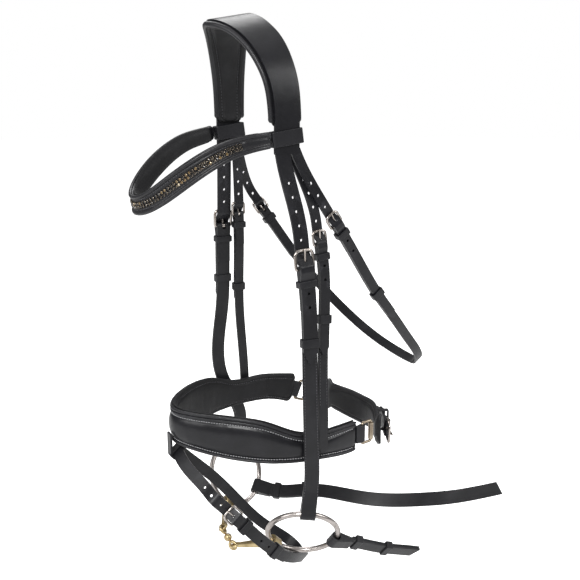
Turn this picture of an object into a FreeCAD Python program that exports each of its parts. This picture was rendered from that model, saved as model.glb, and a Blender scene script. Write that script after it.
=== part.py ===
import FreeCAD, Part
import math
import os

# Snaffle bridle with crank noseband, flash strap and double jointed loose ring bit.
# All sizes are in millimetres.  The origin is the middle of the flat seat under the
# poll pad, +Z is up, the horse faces -Y and its left ("near") side is +X.

V = FreeCAD.Vector
X = V(1, 0, 0)
Y = V(0, 1, 0)
Z = V(0, 0, 1)
NAMES = {1: "near", -1: "far"}

# ---------------------------------------------------------------- driving sizes
CHEEK_WIDTH = 16.0            # cheekpieces and their billets
NARROW_WIDTH = 11.0           # noseband hangers and throatlatch
FLASH_WIDTH = 13.0
REIN_WIDTH = 16.5
JAW_WIDTH = 20.0
LEATHER = 2.8                 # one strap with its edges finished
GAP = 0.12                    # free space between leather layers and hardware
FIT = 0.3                     # free space round a strap inside a keeper
CHAPE_FLAT = 8.0              # flat length of a buckle's folded leather, under its fixed keeper
KEEPER_WALL = 1.6
TONGUE_CLEAR = 0.35           # free space round a tongue where it passes the billet
HOLE_RADIUS = 1.5
HOLE_PITCH = 14.5

CROWN_HALF_WIDTH = 73.0       # half the distance between the cheek billets at the browband
CROWN_HEIGHT = 96.0           # height of the poll arch above its straight sides
CROWN_LEATHER = 3.5
POLL_WIDTH = 43.0
POLL_BACK = -1.0              # how far behind the origin the crown's mid line is at the poll
SIDE_BACK = 28.0              # the same on its straight sides
LOOP_WIDTH = 27.0             # crown width where the browband loops sit
LOOP_AT = -106.0              # height of the browband loops
LOOP_HEIGHT = 15.0
LOOP_LEAN = 8.0               # degrees that their back edge is raised
CROWN_END = -122.0            # height where the crown splits into billets
PAD_END = -92.0               # height where the poll pad ends, just above the loops
CROWN_LEAN = 10.0             # degrees that the back edge is raised at the poll
PAD_THICKNESS = 7.5
SEAT_HALF = 9.0               # half length of the flat seat under the poll

RING_RADIUS = 39.0            # centre line of the bit ring
RING_WIRE = 3.0
RING_HOLE = 4.0               # leather eye round the ring wire
RING_WRAP = 2.4
RING_EYE_LENGTH = 26.0
BARREL_HOLE = 4.2             # mouthpiece eye round the ring wire
BARREL_RADIUS = 7.0
BARREL_LENGTH = 11.0
LINK_RADIUS = 4.4             # centre line of the small interlocking eyes
LINK_WIRE = 1.9

BROWBAND_LEATHER = 4.0
CRYSTAL_RADIUS = 1.55
THROAT_ACROSS = V(0, 0.747, 0.665)    # width direction of the throatlatch
FLASH_ACROSS = V(0, 0.733, 0.68)
NOSEBAND_BULGE = 5.5          # thickness of the noseband's padded centre panel
NOSEBAND_PAD = 6.0
DEE_WIRE = 1.6
DEE_LENGTH = 13.0
DEE_SETBACK = 9.0
ROLLER_RADIUS = 3.0
JAW_STRAP = 2.6
JAW_EYE = 14.0
JAW_BUCKLE_AT = 50.0
JAW_BUCKLE_LIFT = 6.3
FLASH_TAB = V(0, -72, -446)
FLASH_PULL = V(0.99, -0.1, 0.08)      # direction of the flash strap inside its loop
REIN_EYE_LENGTH = 20.0

# Distances down the lower strap, from the folded end at the buckle.
BILLET_TIP = {
    "cheek_near": 80.0, "cheek_far": 77.0, "nose_near": 100.0, "nose_far": 97.0,
    "throat_near": 132.0, "throat_far": 60.0, "jaw": 34.0, "flash": 82.0,
}
SLIDER_AT = {
    "cheek_near": 58.0, "cheek_far": 45.0, "nose_near": 62.0, "nose_far": 74.0,
    "throat_near": 88.0, "flash": 52.0,
}


# ---------------------------------------------------------------- vectors and frames
def unit(vector):
    """The same direction with length one."""
    return V(vector) / vector.Length


class Frame:
    """A strap's own frame: u points back up the strap, w across it and n out of its face."""

    def __init__(self, origin, up, across):
        self.o = V(origin)
        self.u = unit(up)
        self.w = unit(across - self.u * self.u.dot(across))
        self.n = self.u.cross(self.w)

    def at(self, u, n=0.0, w=0.0):
        """The point at these local distances."""
        return self.o + self.u * u + self.n * n + self.w * w

    def moved(self, u, n=0.0, w=0.0):
        """The same frame with its origin moved."""
        return Frame(self.at(u, n, w), self.u, self.w)


def square_frame(origin, up, across):
    """A frame that keeps its width direction exactly; up is turned square to it."""
    across = unit(across)
    return Frame(origin, up - across * across.dot(up), across)


class Spine:
    """A smooth line that a strap follows, with the strap's width direction at both ends."""

    def __init__(self, points, first, last, across, across_end=None):
        curve = Part.BSplineCurve()
        curve.interpolate(Points=points, InitialTangent=first, FinalTangent=last)
        self.edge = curve.toShape()
        self.length = self.edge.Length
        self.across = across
        self.across_end = across_end or across

    def frame(self, distance):
        """The strap's frame at this distance from the start."""
        place = self.edge.getParameterByLength(max(0.0, min(distance, self.length)))
        share = distance / self.length
        across = self.across * (1 - share) + self.across_end * share
        return Frame(self.edge.valueAt(place), -self.edge.tangentAt(place), across)

    def frames(self, start, end, count):
        """Evenly spaced frames between two distances."""
        step = (end - start) / (count - 1)
        return [self.frame(start + step * i) for i in range(count)]


# ---------------------------------------------------------------- leather solids
def loft(frames, sections):
    """A solid through one closed section per frame; a section lists (n, w) corners."""
    count = len(sections[0])
    rings = [[frame.at(0, n, w) for n, w in corners] for frame, corners in zip(frames, sections)]
    tracks = []
    for corner in range(count):
        curve = Part.BSplineCurve()
        curve.interpolate(Points=[ring[corner] for ring in rings], Parameters=list(range(len(rings))))
        tracks.append(curve.toShape())
    faces = [Part.makeRuledSurface(tracks[i], tracks[(i + 1) % count], 1) for i in range(count)]
    faces += [Part.Face(Part.makePolygon(ring + ring[:1])) for ring in (rings[0], rings[-1])]
    shell = Part.makeShell(faces)
    shell.sewShape()
    solid = Part.Solid(shell)
    if solid.Volume < 0:
        solid.reverse()
    return solid


def strap(frames, width, low, high):
    """A flat strap between the faces n = low and n = high."""
    half = width / 2
    section = [(low, -half), (high, -half), (high, half), (low, half)]
    return loft(frames, [section] * len(frames))


def outline_face(frame, start, steps, across):
    """A face drawn in (u, n); a step is (end,) for a line or (middle, end) for an arc."""
    here = start
    edges = []
    for step in steps:
        first = frame.at(here[0], here[1], across)
        last = frame.at(step[-1][0], step[-1][1], across)
        if len(step) == 2:
            middle = frame.at(step[0][0], step[0][1], across)
            edges.append(Part.Arc(first, middle, last).toShape())
        else:
            edges.append(Part.LineSegment(first, last).toShape())
        here = step[-1]
    return Part.Face(Part.Wire(edges))


def prism(frame, start, steps, width):
    """A solid with its outline in (u, n), centred across the strap."""
    return outline_face(frame, start, steps, -width / 2).extrude(frame.w * width)


def block(frame, u0, u1, n0, n1, width):
    """A straight block centred across the strap."""
    return prism(frame, (u0, n0), [((u1, n0),), ((u1, n1),), ((u0, n1),), ((u0, n0),)], width)


def plate(frame, corners, low, high):
    """A solid with its outline in (u, w), between n = low and n = high."""
    points = [frame.at(u, low, w) for u, w in corners]
    face = Part.Face(Part.makePolygon(points + points[:1]))
    return face.extrude(frame.n * (high - low))


def offset_line(path, offset, bend):
    """Stretches of a line beside a path with rounded corners: an arc has three points."""
    points = [V(u, n, 0) for u, n in path]
    ahead = [unit(b - a) for a, b in zip(points, points[1:])]
    left = [V(-d.y, d.x, 0) for d in ahead]
    nodes = [[points[0] + left[0] * offset]]
    for i in range(1, len(points) - 1):
        turn = math.atan2(ahead[i - 1].cross(ahead[i]).z, ahead[i - 1].dot(ahead[i]))
        side = math.copysign(1.0, turn)
        centre = points[i] - ahead[i - 1] * bend * math.tan(abs(turn) / 2) + left[i - 1] * side * bend
        spoke = left[i - 1] * -side * (bend - side * offset)
        half_way = FreeCAD.Rotation(Z, math.degrees(turn / 2)).multVec(spoke)
        end = FreeCAD.Rotation(Z, math.degrees(turn)).multVec(spoke)
        nodes.append([centre + spoke, centre + half_way, centre + end])
    nodes.append([points[-1] + left[-1] * offset])
    return nodes


def ribbon(frame, path, width, thickness, bend):
    """A bent strap of even thickness whose centre line is a path in (u, n)."""
    out = offset_line(path, thickness / 2, bend)
    back = [node[::-1] for node in offset_line(path, -thickness / 2, bend)[::-1]]
    nodes = [[(p.x, p.y) for p in node] for node in out + back]
    steps = []
    for node in nodes[1:] + nodes[:1]:
        steps.append((node[0],))
        if len(node) == 3:
            steps.append((node[1], node[2]))
    return prism(frame, nodes[0][0], steps, width)


def tangent_point(length, level, radius, side):
    """Where a line from (-length, level) touches the circle round the origin."""
    angle = math.atan2(level, -length) - side * math.acos(radius / math.hypot(length, level))
    return (radius * math.cos(angle), radius * math.sin(angle))


def eye_end(frame, hole, wrap, length, low, high, width):
    """A strap end folded round a bar at the origin; the strap leaves towards -u."""
    radius = hole + wrap
    upper = tangent_point(length, high, radius, 1)
    lower = tangent_point(length, low, radius, -1)
    steps = [(upper,), ((radius, 0.0), lower), ((-length, low),), ((-length, high),)]
    solid = prism(frame, (-length, high), steps, width)
    return solid.cut(rod(frame, -width, width, hole))


def rod(frame, start, end, radius):
    """A round bar across the strap through the frame's origin."""
    return Part.makeCylinder(radius, end - start, frame.at(0, 0, start), frame.w)


def pointed(solid, frame, width, length):
    """The strap with its end cut to a point at the frame's origin."""
    half = width / 2
    for side in (-1, 1):
        corners = [(-2, 0.8 * side), (length, half * side), (length, (half + 4) * side), (-2, (half + 4) * side)]
        solid = solid.cut(plate(frame, corners, -12, 12))
    return solid


def punched(solid, frames, radius=HOLE_RADIUS):
    """The strap with a row of round holes through it."""
    for frame in frames:
        solid = solid.cut(Part.makeCylinder(radius, 24, frame.at(0, -12, 0), frame.n))
    return solid


def one(shapes):
    """The pieces joined as a single clean solid."""
    joined = shapes[0].fuse(shapes[1:]) if len(shapes) > 1 else shapes[0]
    return joined.removeSplitter()


# ---------------------------------------------------------------- hardware solids
def rounded_loop(frame, u, low, high, half, radius):
    """A rounded rectangle across the strap at this distance up it."""
    corners = []
    for n, w, start in ((high, half, 0), (low, half, 90), (low, -half, 180), (high, -half, 270)):
        centre_n = n - math.copysign(radius, n - (low + high) / 2)
        centre_w = w - math.copysign(radius, w)
        arc = []
        for angle in (start, start + 45, start + 90):
            turn = math.radians(angle)
            arc.append(frame.at(u, centre_n + radius * math.cos(turn), centre_w + radius * math.sin(turn)))
        corners.append(arc)
    edges = []
    for i, arc in enumerate(corners):
        edges.append(Part.Arc(*arc).toShape())
        edges.append(Part.LineSegment(arc[2], corners[(i + 1) % 4][0]).toShape())
    return Part.Wire(edges)


def keeper(frame, low, high, width, height, wall=KEEPER_WALL):
    """A leather loop round the straps that lie between n = low and n = high."""
    low -= FIT
    high += FIT
    half = width / 2 + FIT
    outer = Part.Face(rounded_loop(frame, -height / 2, low - wall, high + wall, half + wall, wall))
    inner = Part.Face(rounded_loop(frame, -height / 2, low, high, half, 0.4))
    return outer.extrude(frame.u * height).cut(inner.extrude(frame.u * height))


def wire_loop(frame, back, front, half, wire, corner, arch):
    """A closed wire frame in the (u, w) plane from u = back to u = front."""
    pieces = []
    for side in (-1, 1):
        for edge, radius, facing in ((back, corner, 1), (front, arch, -1)):
            hub = frame.at(edge + facing * radius, 0, side * (half - radius))
            spoke = frame.w * (side * radius)
            disc = Part.Face(Part.Wire(Part.Circle(hub + spoke, frame.u, wire).toShape()))
            pieces.append(disc.revolve(hub, frame.n, side * facing * 90.0))
        rail = frame.at(back + corner, 0, side * half)
        pieces.append(Part.makeCylinder(wire, front - arch - back - corner, rail, frame.u))
    for edge, radius in ((back, corner), (front, arch)):
        span = 2 * (half - radius)
        pieces.append(Part.makeCylinder(wire, span, frame.at(edge, 0, radius - half), frame.w))
    return one(pieces)


class Fitting:
    """Sizes of one buckle and the leather round it, for a strap of this width."""

    def __init__(self, width):
        wide = width > 14
        self.width = width
        self.wire = 1.6 if wide else 1.3
        self.bow = 19.0 if wide else 14.0
        self.wrap = 2.0 if wide else 1.7
        self.billet = 2.6 if wide else 2.2
        self.rod = 1.1 if wide else 0.9
        self.reach = 19.0 if wide else 16.0
        self.dip = self.bow - (4.2 if wide else 2.6)
        self.base = -LEATHER / 2
        self.high = LEATHER / 2
        self.low = -LEATHER / 2 - self.wrap
        self.hole = self.wire + 0.1
        self.eye = self.hole + self.wrap
        self.under = -(self.wire + GAP + self.billet / 2)
        self.over = self.eye + GAP + self.billet / 2
        self.flat = self.high + GAP + self.billet / 2
        self.tip = self.bow + 1.5
        self.rise = self.wire + self.rod + 0.25


def buckle(bar, fit):
    """The wire frame with its bar at the origin."""
    half = fit.width / 2 + 0.5 + fit.wire
    return wire_loop(bar, 0, fit.bow, half, fit.wire, fit.wire * 1.25, half * 0.55)


def tongue_line(bar, fit, lift):
    """Direction of the tongue's rod when it is lifted by this many degrees off the bow."""
    slope = math.atan2(fit.rise, fit.bow) + math.radians(lift)
    return bar.u * math.cos(slope) + bar.n * math.sin(slope)


def tongue(bar, fit):
    """The buckle's tongue: a collar round the bar and a rod that rests on the bow."""
    ahead = tongue_line(bar, fit, 0)
    stem = Part.makeCylinder(fit.rod, fit.tip, bar.o, ahead)
    nose = Part.makeSphere(fit.rod, bar.o + ahead * fit.tip)
    collar = rod(bar, -fit.rod * 1.4, fit.rod * 1.4, fit.wire + fit.rod)
    return one([stem, nose, collar]).cut(rod(bar, -fit.width, fit.width, fit.wire + 0.06))


def buckle_chape(bar, fit):
    """The folded leather end that holds the buckle bar, slotted for the tongue."""
    folded = eye_end(bar, fit.hole, fit.wrap, fit.reach - CHAPE_FLAT, fit.low, fit.high, fit.width)
    flat = block(bar, -fit.reach, CHAPE_FLAT - fit.reach, fit.low, fit.high, fit.width)
    solid = one([folded, flat])
    clear = fit.wire + fit.rod + 0.4
    reach = fit.eye + 1
    slot = block(bar, -clear, reach, -reach, reach, fit.rod * 2.8 + 0.8)
    return solid.cut(slot)


def buckle_billet(bar, fit, top):
    """The billet where it dips under the bow and rides over the folded end."""
    path = [
        (top, fit.under),
        (fit.dip, fit.under),
        (2.4, fit.over),
        (-3.0, fit.over),
        (CHAPE_FLAT - fit.reach, fit.flat),
        (-fit.reach, fit.flat),
    ]
    solid = ribbon(bar, path, fit.width, fit.billet, 3.5)
    for lift in (0.0, 5.0, 10.0):
        ahead = tongue_line(bar, fit, lift)
        solid = solid.cut(Part.makeCylinder(fit.rod + TONGUE_CLEAR, fit.tip, bar.o, ahead))
    return solid


class BuckledJoint:
    """A billet that comes down through a buckle and lies on the strap below it."""

    def __init__(self, bar, fit, upper, lower, tip):
        self.bar = bar
        self.fit = fit
        self.upper = upper
        self.lower = lower
        self.tip = tip

    def billet(self):
        """Pieces of the billet, to be joined with the strap it belongs to."""
        fit = self.fit
        half = fit.billet / 2
        above = strap(self.upper.frames(0, self.upper.length, 7), fit.width, -half, half)
        holes = []
        distance = self.upper.length - 2
        while distance > 25 and len(holes) < 5:
            holes.append(self.upper.frame(distance))
            distance -= HOLE_PITCH
        above = punched(above, holes)
        through = buckle_billet(self.bar, fit, fit.bow + 8)
        steps = max(4, int(self.tip / 16))
        below = strap(self.lower.frames(0, self.tip, steps), fit.width, fit.flat - half, fit.flat + half)
        below = punched(below, [self.lower.frame(d) for d in (6.0, 6.0 + HOLE_PITCH)])
        end = self.lower.frame(self.tip).moved(0, fit.flat)
        return [above, through, pointed(below, end, fit.width, fit.width * 0.8)]

    def chape(self):
        """The folded end of the strap below."""
        return buckle_chape(self.bar, self.fit)

    def stack_keeper(self, distance, height):
        """A keeper round the strap and the billet at this distance below the folded end."""
        fit = self.fit
        high = fit.flat + fit.billet / 2
        return keeper(self.lower.frame(distance), fit.base, high, fit.width, height)

    def fixed_keeper(self):
        """The keeper sewn close under the buckle."""
        fit = self.fit
        frame = self.bar.moved(-fit.reach + 3.5)
        return keeper(frame, fit.low, fit.flat + fit.billet / 2, fit.width, 7.0)


def bar_frame(place, down, side_across):
    """A buckle bar's frame: the strap below it runs towards down."""
    return Frame(place, -down, side_across)


def joint(bar, fit, start, start_down, start_across, lower, tip):
    """A buckled joint with the billet starting at the point start."""
    upper = Spine([start, bar.at(fit.bow + 8, fit.under)], start_down, -bar.u, start_across, bar.w)
    return BuckledJoint(bar, fit, upper, lower, tip)


# ---------------------------------------------------------------- headpiece
def crown_station(angle):
    """Frame and width of the crown; angle runs from -90 (near side) through 0 (poll) to 90."""
    turn = math.radians(angle)
    sweep = (math.sqrt(math.sin(turn) ** 2 + 0.04) - 0.2) / (math.sqrt(1.04) - 0.2)
    back = POLL_BACK + (SIDE_BACK - POLL_BACK) * sweep
    top = PAD_THICKNESS + CROWN_LEATHER
    point = V(-CROWN_HALF_WIDTH * math.sin(turn), back, top - CROWN_HEIGHT * (1 - math.cos(turn)))
    tangent = V(-CROWN_HALF_WIDTH * math.cos(turn), 0, -CROWN_HEIGHT * math.sin(turn))
    lean = math.radians(CROWN_LEAN) * math.cos(turn) ** 2
    across = V(0, math.cos(lean), math.sin(lean))
    width = POLL_WIDTH - (POLL_WIDTH - LOOP_WIDTH) * math.sin(turn) ** 2
    return Frame(point, -tangent, across), width


def crown_stations(end):
    """All crown frames over the poll; both straight sides end at this height."""
    arch = [crown_station(angle) for angle in range(-90, 91, 15)]
    near, width = arch[0]
    far = arch[-1][0]
    drop = near.o.z - end
    before = [(Frame(near.o - Z * drop * share, -Z, Y), width) for share in (1.0, 0.5)]
    after = [(Frame(far.o - Z * drop * share, Z, Y), width) for share in (0.5, 1.0)]
    return before + arch + after


def crown_leather():
    """The flat top leather of the headpiece."""
    stations = crown_stations(CROWN_END)
    sections = []
    for frame, width in stations:
        half = width / 2
        sections.append([(-CROWN_LEATHER, -half), (0, -half), (0, half), (-CROWN_LEATHER, half)])
    return loft([frame for frame, width in stations], sections)


def crown_pad():
    """The soft poll pad under the crown, wider than the leather, with a flat seat."""
    top = -CROWN_LEATHER - GAP
    stations = crown_stations(PAD_END)
    sections = []
    for frame, width in stations:
        at_side = abs(frame.o.x) / CROWN_HALF_WIDTH
        half = width / 2 + 3.5 - 1.5 * at_side
        low = top - PAD_THICKNESS * (1 - 0.25 * at_side ** 2)
        edge = (top + low) / 2
        sections.append([
            (top, -half + 2), (top, half - 2), (edge, half),
            (low, half - 4), (low, -half + 4), (edge, -half),
        ])
    pad = loft([frame for frame, width in stations], sections)
    lean = math.radians(CROWN_LEAN)
    seat = Frame(V(0, 0, 0), X, V(0, math.cos(lean), math.sin(lean)))
    return pad.cut(block(seat, -SEAT_HALF, SEAT_HALF, -30, 0, 90))


# ---------------------------------------------------------------- cheekpieces and hangers
def ring_eye(side):
    """Frame of the cheekpiece's lower eye round the ring; u points down."""
    wire = ring_point(side, 180)
    return square_frame(wire.o, -Z, -wire.w * side)


def cheek_joint(side):
    """Cheek buckle with the cheekpiece's line from the buckle to the bit ring."""
    fit = Fitting(CHEEK_WIDTH)
    across = V(0, -side, 0)
    if side > 0:
        bar = bar_frame(V(88.5, 39.5, -235.5), V(0.08, 0.06, -1), across)
        waist = [V(96, 41.5, -335), V(101.5, 41, -425)]
    else:
        bar = bar_frame(V(-83.5, 24.5, -216), V(-0.06, 0.0, -1), across)
        waist = [V(-91, 24.5, -315), V(-98.5, 27, -412)]
    eye = ring_eye(side)
    points = [bar.at(-fit.reach)] + waist + [eye.at(-RING_EYE_LENGTH)]
    lower = Spine(points, -bar.u, eye.u, bar.w, -eye.w)
    start = V(side * (CROWN_HALF_WIDTH - 1.9), 22.8, CROWN_END + 4)
    down = V(0.06 * side, 0.12 if side > 0 else 0.0, -1)
    return joint(bar, fit, start, down, across, lower, BILLET_TIP["cheek_" + NAMES[side]])


def cheekpiece(side):
    """Cheek strap folded round its buckle bar above and round the bit ring below."""
    link = cheek_joint(side)
    fit = link.fit
    lower = link.lower
    main = strap(lower.frames(0, lower.length, 13), fit.width, -LEATHER / 2, LEATHER / 2)
    top_return = strap(lower.frames(0, 24, 4), fit.width - 0.8, fit.low + 0.1, 0)
    back_low = -LEATHER / 2 - RING_WRAP
    back = strap(lower.frames(lower.length - 64, lower.length, 6), fit.width - 0.8, back_low + 0.1, 0)
    eye = eye_end(ring_eye(side), RING_HOLE, RING_WRAP, RING_EYE_LENGTH, back_low, LEATHER / 2, fit.width)
    return one([link.chape(), main, top_return, back, eye])


def hanger_joint(side):
    """Noseband hanger buckle with the hanger's line down to the noseband."""
    fit = Fitting(NARROW_WIDTH)
    across = V(0, -side, 0)
    face = 91.5 + NOSEBAND_BULGE + FIT + LEATHER / 2
    if side > 0:
        bar = bar_frame(V(84, 59.5, -213), V(0.06, 0.12, -1), across)
        points = [bar.at(-fit.reach), V(90, 60.5, -304), V(96, 57.5, -372), V(face + 0.3, 56.5, -412), V(face, 56.5, -436)]
        start = V(CROWN_HALF_WIDTH - 5.9, 32.5, CROWN_END + 22)
    else:
        bar = bar_frame(V(-74.2, 40.5, -202), V(-0.04, 0.04, -1), across)
        points = [bar.at(-fit.reach), V(-86, 45, -310), V(-95, 52.5, -372), V(-face - 0.3, 56.5, -412), V(-face, 56.5, -436)]
        start = V(5.9 - CROWN_HALF_WIDTH, 33.5, CROWN_END + 22)
    lower = Spine(points, -bar.u, -Z, bar.w, across)
    down = V(-0.18 * side, 0.16 if side > 0 else 0.06, -1)
    return joint(bar, fit, start, down, across, lower, BILLET_TIP["nose_" + NAMES[side]])


def hanger(side):
    """Strap that carries the noseband, sewn to its outer face."""
    link = hanger_joint(side)
    fit = link.fit
    lower = link.lower
    main = strap(lower.frames(0, lower.length, 11), fit.width, -LEATHER / 2, LEATHER / 2)
    top_return = strap(lower.frames(0, 20, 4), fit.width - 0.8, fit.low + 0.1, 0)
    end = lower.frame(lower.length)
    return pointed(one([link.chape(), main, top_return]), end, fit.width, 6)


# ---------------------------------------------------------------- throatlatch
def throat_joints():
    """Both throatlatch buckles and the one strap line that hangs between them."""
    fit = Fitting(NARROW_WIDTH)
    near = bar_frame(V(80, 81, -195), V(-0.13, 0.59, -0.79), -THROAT_ACROSS)
    far = bar_frame(V(-80, 76, -200), V(0.15, 0.55, -0.82), THROAT_ACROSS)
    sag = [V(66, 142, -278), V(57, 171, -310), V(38, 210, -350), V(14, 243, -385), V(0, 248, -393),
           V(-14, 239, -388), V(-45, 185, -342), V(-68, 119, -264)]
    ends = [near.at(-fit.reach)] + sag + [far.at(-fit.reach)]
    line = Spine(ends, -near.u, far.u, near.w, -far.w)
    back = Spine(ends[::-1], -far.u, near.u, far.w, -near.w)
    links = []
    for side, bar, lower in ((1, near, line), (-1, far, back)):
        start = V(side * (CROWN_HALF_WIDTH - 1.9), 37.2, CROWN_END + 4)
        across = V(0, -side, -0.35 * side)
        down = V(0.12 * side, 0.35, -1)
        tip = BILLET_TIP["throat_" + NAMES[side]]
        links.append(joint(bar, fit, start, down, across, lower, tip))
    return links, line


def throatlatch():
    """Throat strap with a folded buckle end on each side."""
    links, line = throat_joints()
    fit = links[0].fit
    pieces = [strap(line.frames(0, line.length, 33), fit.width, -LEATHER / 2, LEATHER / 2)]
    for link in links:
        pieces.append(link.chape())
        pieces.append(strap(link.lower.frames(0, 20, 4), fit.width - 0.8, fit.low + 0.1, 0))
    return one(pieces)


# ---------------------------------------------------------------- browband
def browband_spine():
    """Centre line of the browband from the near loop round the forehead to the far loop."""
    half = [V(75, 14, -107), V(70.5, 5.2, -108.6), V(66.2, -5.5, -110.8), V(61.5, -28, -117)]
    half += [V(54, -55, -131.5), V(40, -82, -152.5)]
    front = [V(22, -99, -167.5), V(0, -105, -172)]
    near = half + front
    far = [V(-p.x, p.y, p.z) for p in near[:-1][::-1]]
    return Spine(near + far, V(-0.45, -1, -0.15), V(-0.45, 1, 0.15), Z)


def browband_frame(spine, distance):
    """Browband frame leaning a little at the front, as the forehead does."""
    share = math.sin(math.pi * distance / spine.length)
    frame = spine.frame(distance)
    lean = V(0, -0.22 * share, 1)
    return Frame(frame.o, frame.u, lean)


def browband_height(share):
    """Height of the browband; share is 0 at the loops and 1 at the middle."""
    return 14.5 + 4.5 * math.sin(math.pi / 2 * min(1.0, share * 1.6))


def browband_layer(spine, low, high, shrink, trim):
    """One layer of the browband between two faces."""
    count = 33
    frames = []
    sections = []
    for i in range(count):
        distance = trim + (spine.length - 2 * trim) * i / (count - 1)
        share = 1 - abs(2 * distance / spine.length - 1)
        half = browband_height(share) / 2 - shrink
        frames.append(browband_frame(spine, distance))
        soft = min(1.2, (high - low) / 3)
        sections.append([
            (low, -half + soft), (low, half - soft), (low + soft, half), (high - soft, half),
            (high, half - soft), (high, -half + soft), (high - soft, -half), (low + soft, -half),
        ])
    return loft(frames, sections)


def crystals(spine):
    """Two rows of small faceted stones set along the front of the browband."""
    stones = []
    pitch = 2 * CRYSTAL_RADIUS + 0.5
    start = 36.0
    count = int((spine.length - 2 * start) / pitch)
    for i in range(count + 1):
        distance = start + (spine.length - 2 * start) * i / count
        frame = browband_frame(spine, distance)
        for row in (-1, 1):
            seat = frame.at(0, BROWBAND_LEATHER / 2 - 0.3, row * (CRYSTAL_RADIUS + 0.15))
            stones.append(Part.makeCone(CRYSTAL_RADIUS, CRYSTAL_RADIUS * 0.55, 1.6, seat, frame.n))
    return Part.makeCompound(stones)


def browband_loop(side):
    """Leather loop that carries the browband on the headpiece."""
    lean = math.radians(LOOP_LEAN)
    back = V(0, math.cos(lean), math.sin(lean))
    frame = Frame(V(side * CROWN_HALF_WIDTH, SIDE_BACK, LOOP_AT), X.cross(back), back * -side)
    room = LOOP_HEIGHT * math.tan(lean)
    return keeper(frame, -CROWN_LEATHER - 5.4, 0.0, LOOP_WIDTH + room, LOOP_HEIGHT, 2.2)


# ---------------------------------------------------------------- noseband
NOSE_MARKS = [
    # x, y, z and height at stations from the front to the side
    (0.0, -72.5, -414.0, 39.0),
    (27.0, -60.0, -415.0, 42.0),
    (52.0, -34.0, -417.5, 46.0),
    (70.0, -7.0, -421.0, 46.0),
    (81.0, 13.0, -425.5, 39.0),
    (88.0, 33.0, -429.0, 32.0),
    (91.5, 56.0, -430.0, 30.0),
    (91.5, 80.0, -430.0, 33.0),
]
NOSE_NEAR_END = (87.0, 104.0, -430.0, 33.0)
NOSE_FAR_END = (-93.0, 122.0, -440.0, 36.0)


def noseband_marks():
    """Station marks from the near end round the front to the far end."""
    near = [NOSE_NEAR_END] + NOSE_MARKS[::-1]
    far = [(-x, y, z, height) for x, y, z, height in NOSE_MARKS[1:]] + [NOSE_FAR_END]
    return near + far


def noseband_frames():
    """Frames and heights along the noseband."""
    marks = noseband_marks()
    points = [V(x, y, z) for x, y, z, height in marks]
    spine = Spine(points, V(0.15, -1, 0), V(0.05, 1, -0.4), Z)
    frames = []
    heights = []
    for point, mark in zip(points, marks):
        place = spine.edge.Curve.parameter(point)
        frames.append(Frame(point, -spine.edge.tangentAt(place), Z))
        heights.append(mark[3])
    return frames, heights


def noseband_leather():
    """Outer leather of the noseband, thicker where its centre panel bulges."""
    frames, heights = noseband_frames()
    sections = []
    for height in heights:
        half = height / 2
        sections.append([
            (0, -half), (0, half), (2.5, half), (NOSEBAND_BULGE, half * 0.45),
            (NOSEBAND_BULGE, -half * 0.45), (2.5, -half),
        ])
    return loft(frames, sections)


def noseband_pad():
    """Soft lining of the noseband; it stands a little proud of the leather."""
    frames, heights = noseband_frames()
    sections = []
    top = -GAP
    for height in heights:
        half = height / 2 + 1.5
        sections.append([
            (top, -half + 2), (top, half - 2), (-NOSEBAND_PAD / 2, half),
            (-NOSEBAND_PAD, half - 4), (-NOSEBAND_PAD, -half + 4), (-NOSEBAND_PAD / 2, -half),
        ])
    return loft(frames, sections)


# ---------------------------------------------------------------- bit
def ring_frame(side):
    """Frame at the ring's centre: u points to the cheekpiece and n is the ring's normal."""
    if side > 0:
        top, down, along = V(98, 39, -504.5), V(-0.5, 0.12, -0.86), V(0.41, 0.9, -0.12)
    else:
        top, down, along = V(-97, 41, -499.5), V(0.44, -0.18, -0.88), V(-0.2, 0.94, -0.29)
    down = unit(down)
    return Frame(top + down * RING_RADIUS, -down, -along)


def ring_point(side, angle):
    """Frame on the ring's wire; angle 0 is the lowest point and 90 the rearmost."""
    ring = ring_frame(side)
    turn = math.radians(angle)
    spoke = -ring.u * math.cos(turn) - ring.w * math.sin(turn)
    along = ring.u * math.sin(turn) - ring.w * math.cos(turn)
    return Frame(ring.o + spoke * RING_RADIUS, spoke, along)


def bit_ring(side):
    """Loose ring of the bit."""
    ring = ring_frame(side)
    return Part.makeTorus(RING_RADIUS, RING_WIRE, ring.o, ring.n)


def mouth_points():
    """Near barrel, near joint, far joint and far barrel of the mouthpiece."""
    return [ring_point(1, -48), V(5.7, -9.3, -578.4), V(-7.6, -15.9, -562.7), ring_point(-1, -22)]


def link_eye(centre, normal):
    """Small round eye that interlocks with its neighbour."""
    return Part.makeTorus(LINK_RADIUS, LINK_WIRE, centre, normal)


def mouth_arm(side):
    """One cannon of the mouthpiece, from the ring to the middle link."""
    near, near_joint, far_joint, far = mouth_points()
    wire, pivot, other = (near, near_joint, far_joint) if side > 0 else (far, far_joint, near_joint)
    ahead = unit(pivot - wire.o)
    hinge = unit(ahead.cross(other - pivot))
    centre = pivot - ahead * LINK_RADIUS
    eye = link_eye(centre, ahead.cross(hinge))
    root = wire.o + ahead * (BARREL_RADIUS - 2)
    neck = centre - ahead * (LINK_RADIUS - 0.4)
    shank = Part.makeCone(5.8, 3.0, (neck - root).Length, root, ahead)
    barrel = Part.makeCylinder(BARREL_RADIUS, BARREL_LENGTH, wire.at(0, 0, -BARREL_LENGTH / 2), wire.w)
    bore = Part.makeCylinder(BARREL_HOLE, 40, wire.at(0, 0, -20), wire.w)
    return one([barrel, shank, eye]).cut(bore)


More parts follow.
